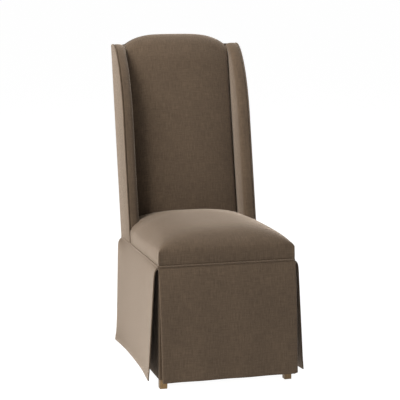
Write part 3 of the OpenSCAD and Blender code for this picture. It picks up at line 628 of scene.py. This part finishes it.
# %% Mirror to the left and dress both wings
def mirrored(piece, name):
    bm = bmesh.new()
    bm.from_mesh(piece.data)
    bmesh.ops.scale(bm, vec=(-1, 1, 1), verts=bm.verts)
    bmesh.ops.reverse_faces(bm, faces=bm.faces)
    return new_object(bm, name)

def wing_rule(point, normal):
    q = upright @ point
    return abs(q.x) - q.y, q.z

def panel_rule(point, normal):
    q = upright @ point
    return q.y, q.z

wing_roll_left = mirrored(wing_roll_right, "wing_roll_left")
wing_side_left = mirrored(wing_side_right, "wing_side_left")
for side, roll, panel in (("left", wing_roll_left, wing_side_left),
                          ("right", wing_roll_right, wing_side_right)):
    shade(roll, 40)
    shade(panel, 30)
    lay_cloth(roll, wing_rule)
    lay_cloth(panel, panel_rule)
    dress(roll, cover_cloth, "cover_fabric", "wing_inner_cover_" + side, "wing_pad_" + side)
    dress(panel, cover_cloth, "cover_fabric", "wing_outer_cover_" + side)

# %% [markdown]
# ## The outside back
# Behind, one flat panel covers the whole width, with the arch on top. On the real chair it is drawn over
# a stiff board and sewn on by hand, so it is almost flat with softly rounded edges. A grid is drawn up to
# the outline, given its thickness, and its rear rim is bevelled.

# %% Outside back
def verts_in(geometry):
    """The points among what an operator gives back."""
    return [g for g in geometry if isinstance(g, bmesh.types.BMVert)]

def sharp_edges(bm):
    """The edges whose two faces turn by more than a radian."""
    return [e for e in bm.edges if e.is_manifold and e.calc_face_angle(0) > 1.0]

def make_rear_panel():
    inset, thickness = 0.0004, 0.0034
    bm = bmesh.new()
    for v in bmesh.ops.create_grid(bm, x_segments=56, y_segments=40, size=0.5)["verts"]:
        x = v.co.x * 2 * (half_w - inset)
        top = wing_top - inset
        if abs(x) < back_half_w:
            top = max(top, back_shoulder + arch_rise * arch_share(x) - inset)
        share = v.co.y + 0.5
        v.co = Vector((x, 0, wing_low + share * (top - wing_low)))
    bmesh.ops.recalc_face_normals(bm, faces=bm.faces)
    grown = bmesh.ops.extrude_face_region(bm, geom=list(bm.faces))["geom"]
    bmesh.ops.translate(bm, vec=(0, -thickness, 0), verts=verts_in(grown))
    rim = [e for e in sharp_edges(bm) if all(abs(v.co.y) < 1e-6 for v in e.verts)]
    bevel(bm, rim, 0.0016, 3)
    bmesh.ops.transform(bm, matrix=leaning, verts=bm.verts)
    return add_piece(bm, "outside_back")

outside_back = make_rear_panel()
trim(outside_back, (0, 0, welt_z + seam_gap), (0, 0, -1))
shade(outside_back, 35)

def rear_rule(point, normal):
    q = upright @ point
    return q.x, q.z

lay_cloth(outside_back, rear_rule)
dress(outside_back, cover_cloth, "cover_fabric", "outside_back_cover")

# %% [markdown]
# ## The seat
# The seat is the softest form: a deep foam block whose top climbs from the front edge to a crown and then
# falls a little to the back, with its front corners pulled tight. It starts as a grid that a smooth rule
# lifts into the dome, with upright sides drawn down from its rim, since that bends more evenly than a
# rolled block. The finished back and wings are then cut out of it, a little oversize, so the cloth parts
# meet in a thin dark line as they do on the real chair. The padding simulation follows, with the cloth
# held along the piping. Last the front corners are squared off and the room for the frame is cut away.

# %% Seat
seat_inset, seat_low, seat_voxel = 0.0025, welt_z - 0.014, 0.005

def seat_top_at(x, y):
    """The CAD source's dome, which falls a little to the back, with a crisper ridge up from each corner."""
    side_power, side_root, front_power, front_root, ridge = 3.25, 1.65, 3.7, 2.1, 1.25
    across = (1 - min(1, abs(x) / half_w) ** side_power) ** (1 / side_root)
    behind = min(1, max(0, (y - front_y) / seat_roll_d))
    along = (1 - (1 - behind) ** front_power) ** (1 / front_root)
    fall = seat_fall * max(0, (y - front_y - seat_roll_d) / (body_d - back_t - seat_roll_d)) ** 2
    if min(across, along) <= 0:
        return welt_z + seat_edge_h
    share = (across ** -ridge + along ** -ridge - 1) ** (-1 / ridge)
    return welt_z + seat_edge_h + (seat_rise - fall) * share

def make_seat():
    """The dome as a grid that is denser near its edges, with upright sides drawn down from its rim."""
    depth, corner = body_d - 0.02, 0.007
    inward = 1 - seat_inset / half_w
    bm = bmesh.new()
    for v in bmesh.ops.create_grid(bm, x_segments=96, y_segments=110, size=0.5)["verts"]:
        x = half_w * math.sin(math.pi * v.co.x)
        y = front_y + depth * (1 - math.cos(math.pi / 2 * (v.co.y + 0.5)))
        z = seat_top_at(x, y)
        dx, dy = abs(x) - (half_w - corner), front_y + corner - y
        if dx > 0 and dy > 0:
            turn = max(dx, dy) / math.hypot(dx, dy)
            x = math.copysign(half_w - corner + dx * turn, x)
            y = front_y + corner - dy * turn
        v.co = Vector((x * inward, y + seat_inset * (1 - (y - front_y) / depth), z - seat_inset))
    sides = bmesh.ops.extrude_edge_only(bm, edges=rim_of(bm))["geom"]
    for v in verts_in(sides):
        v.co.z = seat_low
    bmesh.ops.holes_fill(bm, edges=rim_of(bm), sides=0)
    piece = add_piece(bm, "seat_cushion")
    remesh(piece, seat_voxel)
    return piece

seat_cushion = make_seat()
print("seat before it is cut:", len(seat_cushion.data.vertices), "points")

# %% Cut the seat clear of the back and wings
def cut_with(piece, cutter):
    """Takes one closed shape away from another."""
    keep_modifier(piece, "BOOLEAN", operation="DIFFERENCE", solver="MANIFOLD", object=cutter)
    bpy.data.objects.remove(cutter)

def swollen(piece, amount, name):
    """A copy whose faces are all moved outwards by one amount, to cut a neighbour clear of it."""
    copy = bpy.data.objects.new(name, piece.data.copy())
    scene.collection.objects.link(copy)
    normals = [v.normal.copy() for v in copy.data.vertices]
    for vertex, normal in zip(copy.data.vertices, normals):
        vertex.co += normal * amount
    return copy

neighbour_gap = 0.0012
for neighbour in (inside_back, wing_roll_left, wing_roll_right):
    cut_with(seat_cushion, swollen(neighbour, neighbour_gap, "neighbour space"))
print("seat after it is cut:", len(seat_cushion.data.vertices), "points")

# %% Keep the seat's main body and pad it
def largest_part(piece):
    """Cutting can leave crumbs and slivers, so only the largest part with a sound skin is kept."""
    bm = bmesh.new()
    bm.from_mesh(piece.data)
    bmesh.ops.triangulate(bm, faces=[face for face in bm.faces if len(face.verts) > 4])
    bmesh.ops.dissolve_degenerate(bm, dist=tiny, edges=bm.edges)
    left = set(bm.faces)
    parts = []
    while left:
        seed = left.pop()
        part, waiting = {seed}, [seed]
        while waiting:
            sound = [e for e in waiting.pop().edges if e.is_manifold]
            found = {face for e in sound for face in e.link_faces} & left
            left -= found
            part |= found
            waiting.extend(found)
        parts.append(part)
    keep = max(parts, key=len)
    bmesh.ops.delete(bm, geom=[face for face in bm.faces if face not in keep], context="FACES")
    bm.to_mesh(piece.data)
    bm.free()

largest_part(seat_cushion)
remesh(seat_cushion, seat_voxel)

def seat_free(p):
    """The top is free, the sides half so, and the cloth is held beside the back and the wings."""
    q = upright @ p
    from_back = ramp(-q.y, back_t + 0.012, back_t + 0.05)
    beside_wing = ramp(-q.y, wing_reach + 0.003, wing_reach + 0.02)
    in_lane = ramp(half_w - wing_t - abs(p.x), 0.002, 0.02)
    return (0.5 + 0.5 * ramp(p.z, welt_z, welt_z + 0.03)) * from_back * max(beside_wing, in_lane)

plump(seat_cushion, 0.0045, seat_free)
subdivide_once(seat_cushion)

# %% Square the seat's front corners
def square_corner(p):
    """Moves the rounded corner out to a corner with a seam, and leaves the dome above it soft."""
    reach, full_below, soft_above = 0.018, welt_z + 0.048, welt_z + 0.095
    inner_x, inner_y = half_w - reach, front_y + reach
    dx, dy = abs(p.x) - inner_x, inner_y - p.y
    if dx <= 0 or dy <= 0:
        return p.copy()
    out = math.hypot(dx, dy) / max(dx, dy)
    across, forward = min(reach, dx * out), min(reach, dy * out)
    square = Vector((math.copysign(inner_x + max(dx, across), p.x), inner_y - max(dy, forward), p.z))
    return p.lerp(square, 0.9 * (1 - ramp(p.z, full_below, soft_above)))

move_points(seat_cushion, square_corner)
print("front corners squared; seat top at", round(max(v.co.z for v in seat_cushion.data.vertices), 4))

# %% Hollow the seat for its frame and end it at the piping
def seat_frame_space(gap=0.0003):
    bm = bmesh.new()
    block(bm, (-frame_x - gap, frame_front_y - gap, 0.3), (frame_x + gap, 0.5, deck_top + gap))
    return add_piece(bm, "frame space")

cut_with(seat_cushion, seat_frame_space())
trim(seat_cushion, (0, 0, welt_z + 0.0026), (0, 0, -1))
largest_part(seat_cushion)
shade(seat_cushion, 50)

def seat_rule(point, normal):
    if abs(normal.x) > 0.8:
        return point.y, point.z
    return point.x, point.y + point.z

lay_cloth(seat_cushion, seat_rule)
dress(seat_cushion, cover_cloth, "cover_fabric", "seat_cover", "seat_foam")

# %% [markdown]
# ## The piping
# A cord wrapped in the same cloth runs right round the chair where the skirt begins. A ring of points is
# pulled along the straights and spun round the corners, which is how the cord itself is led.

# %% Piping
def edges_in(geometry):
    """The edges among what an operator gives back."""
    return [g for g in geometry if isinstance(g, bmesh.types.BMEdge)]

def make_piping():
    radius, turn, out, steps = welt_d / 2, 0.010, welt_d / 3, 24
    x, low, high = half_w + out - radius - turn, front_y - out + radius + turn, rear_y + out - radius - turn
    bm = bmesh.new()
    start = Matrix.Translation((x + turn, low, welt_z)) @ Matrix.Rotation(math.pi / 2, 4, "X")
    bmesh.ops.create_circle(bm, cap_ends=False, radius=radius, segments=16, matrix=start)
    edges = list(bm.edges)
    runs = [Vector((0, high - low, 0)), Vector((-2 * x, 0, 0)),
            Vector((0, low - high, 0)), Vector((2 * x, 0, 0))]
    centres = [(x, high), (-x, high), (-x, low), (x, low)]
    for run, centre in zip(runs, centres):
        for _ in range(steps):
            grown = bmesh.ops.extrude_edge_only(bm, edges=edges)["geom"]
            edges = edges_in(grown)
            bmesh.ops.translate(bm, verts=verts_in(grown), vec=run / steps)
        spun = bmesh.ops.spin(bm, geom=edges, cent=(*centre, welt_z), axis=(0, 0, 1), angle=math.pi / 2,
                              steps=8, use_duplicate=False)["geom_last"]
        edges = edges_in(spun)
    return add_piece(bm, "skirt_welt")

def make_tape():
    """The flat edge that the cord is sewn to, tacked on the rails behind it."""
    bm = bmesh.new()
    thin, clear = 0.00075, 0.0002
    for low, high in (((-half_w, front_y), (half_w, frame_front_y)),
                      ((-half_w, frame_rear_y), (half_w, rear_y)),
                      ((-half_w, frame_front_y + clear), (-frame_x, frame_rear_y - clear)),
                      ((frame_x, frame_front_y + clear), (half_w, frame_rear_y - clear))):
        block(bm, (*low, welt_z - thin), (*high, welt_z + thin))
    return add_piece(bm, "skirt_welt_tape")

skirt_welt = make_piping()
shade(skirt_welt, 60)
skirt_tape = make_tape()

def piping_rule(point, normal):
    return point.x + point.y + point.z, point.x - point.y + 0.5 * point.z

for piece in (skirt_welt, skirt_tape):
    lay_cloth(piece, piping_rule)
    dress(piece, cover_cloth, "cover_fabric", "skirt_piping")

# %% [markdown]
# ## The skirt
# The skirt is four lined panels that hang from the piping and stand away from the chair at the hem. Just
# under the piping each one swells out before it falls straight. The side panels swell at once at their
# ends and draw in between them, and the cloth is so stiff that only shallow waves reach the hem. The
# upright edges of the front and back panels roll inwards, so that they catch the light as a thin line. A
# grid gives even squares, each of its points is hung at its place, and Solidify gives cloth and lining
# their thickness.

# %% Where the skirt hangs
skirt_top, skirt_t = welt_z - seam_gap, 0.0036

def skirt_z(v):
    return skirt_top - v * (skirt_top - hem_z)

def swell(v, puff, power, fall):
    """The share of the flare that is reached: a part of it at once, the rest as the cloth falls."""
    return puff * (1 - (1 - v) ** power) + (1 - puff) * fall

def hem_turn(v):
    """The cloth turned up inside the hem makes its last 28 mm slightly thicker."""
    return 0.0008 * ramp(v, 0.925, 0.935)

def cross_place(y, direction, flare, shift):
    """For the front or back panel, the place of the point at u across and v down from the piping."""
    roll_w, roll_depth, fold_depth, waves, draw_in, corner_lift = 0.0045, 0.0032, 0.0016, 3, 0.005, 0.004

    def place(u, v):
        v = v ** 1.5
        t = math.sin(math.pi / 2 * (2 * u - 1))
        past = min(1, max(0, abs(t) * half_w - half_w + roll_w) / roll_w)
        rolled = roll_depth * (1 - math.sqrt(1 - past ** 2)) * ramp(v, 0.02, 0.10)
        fold = fold_depth * v * math.cos(math.pi * waves * t + shift)
        corner = corner_lift * max(0, abs(t) - 0.95) / 0.05 * ramp(v, 0.96, 1.0) * (t > 0)
        x = t * (half_w - draw_in * v * (t < 0))
        out = flare * swell(v, 0.4, 7, v) + hem_turn(v) - fold - rolled
        return x, y - direction * out, skirt_z(v) + corner
    return place

def side_hang(u, v):
    """A side panel swells at once below the piping; its rear end then stays upright nearly to the hem."""
    puff = 0.35 + 0.12 * u
    quick = 9 + 41 * (2 * u - 1) ** 6
    front_end, rear_end = v, 0.62 * v + 0.38 * v ** 10
    return swell(v, puff, quick, front_end + (rear_end - front_end) * u)

def side_place(u, v):
    """The same for the right side panel, where u runs from the front to the rear."""
    end_gap, fold_depth = 0.0043, 0.0012
    v = v ** 2
    out = flare_side + (flare_rear - flare_side) * u - side_draw_in * math.sin(math.pi * u)
    fold = fold_depth * v * (1 - math.cos(2 * math.pi * 2 * u)) / 2
    y = front_y + end_gap + u * (body_d - 2 * end_gap)
    x = half_w + out * side_hang(u, v) + hem_turn(v) - fold
    return x, y, skirt_z(v)

print("skirt from", round(skirt_top, 4), "down to", round(skirt_z(1), 4))

# %% Skirt panels
def panel_grid(bm, columns, rows, place):
    """A grid whose points are moved to place(u, v): u runs across, v down from the piping."""
    for vertex in bmesh.ops.create_grid(bm, x_segments=columns, y_segments=rows, size=0.5)["verts"]:
        vertex.co = Vector(place(vertex.co.x + 0.5, 0.5 - vertex.co.y))

def thicken(piece, thickness, offset):
    """offset is -1 to grow to the inside only, and 0 to grow both ways."""
    keep_modifier(piece, "SOLIDIFY", thickness=thickness, offset=offset)

def soften_rim(piece):
    """Rounds the turned edges of a panel."""
    bm = bmesh.new()
    bm.from_mesh(piece.data)
    bmesh.ops.recalc_face_normals(bm, faces=bm.faces)
    bevel(bm, sharp_edges(bm), 0.0011, 2)
    bm.to_mesh(piece.data)
    bm.free()

def hung_panel(name, place, inward):
    bm = bmesh.new()
    panel_grid(bm, 60, 48, place)
    bmesh.ops.recalc_face_normals(bm, faces=bm.faces)
    some = next(iter(bm.faces))
    if some.normal.dot(Vector(inward)) > 0:
        bmesh.ops.reverse_faces(bm, faces=bm.faces)
    piece = new_object(bm, name)
    thicken(piece, skirt_t, -1)
    soften_rim(piece)
    return piece

skirt_front = hung_panel("skirt_panel_front", cross_place(front_y, 1, flare_front, 0.6), (0, 1, 0))
skirt_back = hung_panel("skirt_panel_back", cross_place(rear_y, -1, flare_rear, 0.2), (0, -1, 0))
skirt_right = hung_panel("skirt_panel_right", side_place, (-1, 0, 0))
skirt_left = mirrored(skirt_right, "skirt_panel_left")
for piece, node, width in ((skirt_front, "skirt_front", 0.49), (skirt_back, "skirt_back", 0.49),
                           (skirt_left, "skirt_left", 0.588), (skirt_right, "skirt_right", 0.588)):
    shade(piece, 40)
    lay_cloth(piece, upright_rule)
    dress(piece, cover_cloth, "cover_fabric", node)

# %% [markdown]
# ## The pleat underlays
# Behind each corner a separate folded piece of cloth closes the gap between two panels, which is what
# makes it a kick pleat: the panels can part without showing the leg. It hangs straight down, so it shows
# as a dark strip beside the flared panel. Its cloth is pressed flat, so it is drawn as a thin plate that
# is extruded round the corner, with a rounded fold.

# %% Pleat underlays
pleat_reach, pleat_t = 0.150, 0.0027

def make_underlay(name, side, front):
    """The rear right one is drawn, as an angle round its corner, and turned over for the others."""
    gap, fold_radius = 0.0003, 0.0022
    x = frame_x + gap
    bm = bmesh.new()
    block(bm, (x - pleat_reach, 0, hem_z), (x + pleat_t, pleat_t, skirt_top))
    bmesh.ops.bisect_plane(bm, geom=everything(bm), plane_co=(x, 0, 0), plane_no=(1, 0, 0))
    ends = [f for f in bm.faces if f.normal.y < -0.9 and f.calc_center_median().x > x]
    grown = bmesh.ops.extrude_face_region(bm, geom=ends)["geom"]
    bmesh.ops.translate(bm, vec=(0, -pleat_reach, 0), verts=verts_in(grown))
    bmesh.ops.delete(bm, geom=ends, context="FACES_ONLY")
    fold = edges_where(bm, lambda p: abs(p.x - x - pleat_t) < 1e-5 and abs(p.y - pleat_t) < 1e-5)
    bevel(bm, fold, fold_radius, 4)
    if front:
        bmesh.ops.scale(bm, vec=(1, -1, 1), verts=bm.verts)
    y = frame_front_y - gap if front else frame_rear_y + gap
    bmesh.ops.translate(bm, vec=(0, y, 0), verts=bm.verts)
    if side == "left":
        bmesh.ops.scale(bm, vec=(-1, 1, 1), verts=bm.verts)
    return add_piece(bm, name)

for side in ("left", "right"):
    for front in (True, False):
        place = ("front_" if front else "rear_") + side
        underlay = make_underlay("pleat_" + place, side, front)
        shade(underlay, 40)
        lay_cloth(underlay, upright_rule)
        dress(underlay, lining_cloth_with_painted_light, "lining_fabric", "pleat_underlay_" + place)

# %% [markdown]
# ## The dust cover
# Under the seat a thin black cloth is stapled to the rails to keep dust and crumbs in. It sags a little
# between the rails and is notched round the legs. So light a sag needs no simulation: a grid follows a
# smooth rule, loses its corners, and gets the cloth's thickness from Solidify.

# %% Dust cover
def make_dust_cover():
    margin, leg, gap, deepest = 0.006, 0.0385, 0.0004, 0.005
    x, low, high = frame_x - margin, frame_front_y + margin, frame_rear_y - margin
    bm = bmesh.new()
    for v in bmesh.ops.create_grid(bm, x_segments=36, y_segments=44, size=0.5)["verts"]:
        u, w = v.co.x + 0.5, v.co.y + 0.5
        sag = deepest * (math.sin(math.pi * u) * math.sin(math.pi * w)) ** 0.8
        v.co = Vector((-x + 2 * x * u, low + (high - low) * w, rail_bottom - gap - sag))
    notch = [v for v in bm.verts if abs(v.co.x) > frame_x - leg
             and (v.co.y < frame_front_y + leg or v.co.y > frame_rear_y - leg)]
    bmesh.ops.delete(bm, geom=notch, context="VERTS")
    piece = new_object(bm, "seat_dust_cover")
    thicken(piece, 0.0008, 0)
    return piece

dust = make_dust_cover()
shade(dust, 40)
dress(dust, hidden["cambric"], "cambric", "dust_cover")

# %% [markdown]
# ## Floor, light and camera
# The photo has a plain white ground, a strong soft light from the left and a little above, and hardly any
# fill from the right. The floor is a very large pale plane that glows evenly, so that it fills the picture
# with white and its far edge stays out of it. One big soft lamp stands high at the left front, a weaker
# one hangs overhead, and the world adds a faint even base. The camera stands where the photo's was, which
# was found from the chair's own straight edges.

# %% Floor
floor_reach = 120
bm = bmesh.new()
bmesh.ops.create_grid(bm, x_segments=2, y_segments=2, size=floor_reach)
floor = new_object(bm, "studio_floor")
n = Nodes("pale studio floor")
grain = n.noise(n.coordinates(), 3.0, 2.0)
n.link(n.ramp(grain, [(0.3, (0.24,) * 3), (0.7, (0.25,) * 3)]), n.shader.inputs["Base Color"])
n.set(Roughness=0.9, Specular_IOR_Level=0.0, Emission_Color=(1, 1, 1, 1), Emission_Strength=0.985)
floor.data.materials.append(n.material)
print("floor reaches", floor_reach, "m each way")

# %% Lights
chair_middle = Vector((0, 0, 0.62))

def area_light(name, place, size, watts, colour=(1, 1, 1)):
    data = bpy.data.lights.new(name, "AREA")
    data.shape = "RECTANGLE"
    data.size, data.size_y = size
    data.energy = watts
    data.color = colour
    lamp = bpy.data.objects.new(name, data)
    lamp.location = place
    lamp.rotation_euler = (chair_middle - Vector(place)).to_track_quat("-Z", "Y").to_euler()
    scene.collection.objects.link(lamp)

area_light("key light", (-2.92, -1.30, 2.86), (2.2, 2.0), 228, (1.0, 0.995, 0.985))
area_light("top light", (-0.34, 0, 4.5), (3.0, 3.0), 92)
scene.world = bpy.data.worlds.new("studio")
scene.world.use_nodes = True
background = scene.world.node_tree.nodes["Background"].inputs
background["Color"].default_value = (1, 1, 1, 1)
background["Strength"].default_value = 0.03
scene.view_settings.view_transform = "Standard"

# %% Camera
lens = bpy.data.cameras.new("photo camera")
lens.lens, lens.sensor_width = 125.1, 36.0
lens.clip_start, lens.clip_end = 0.1, 200
camera = bpy.data.objects.new("photo camera", lens)
camera.location = (-1.3324, -4.8236, 1.3928)
camera.rotation_euler = (math.radians(80.93), 0, math.radians(-15.44))
scene.collection.objects.link(camera)
scene.camera = camera
print("camera at", tuple(round(c, 3) for c in camera.location), "with a lens of", round(lens.lens, 1), "mm")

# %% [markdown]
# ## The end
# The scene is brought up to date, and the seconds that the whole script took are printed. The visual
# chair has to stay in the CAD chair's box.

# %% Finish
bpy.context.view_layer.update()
print("seconds for the whole scene:", round(time.time() - started, 1))
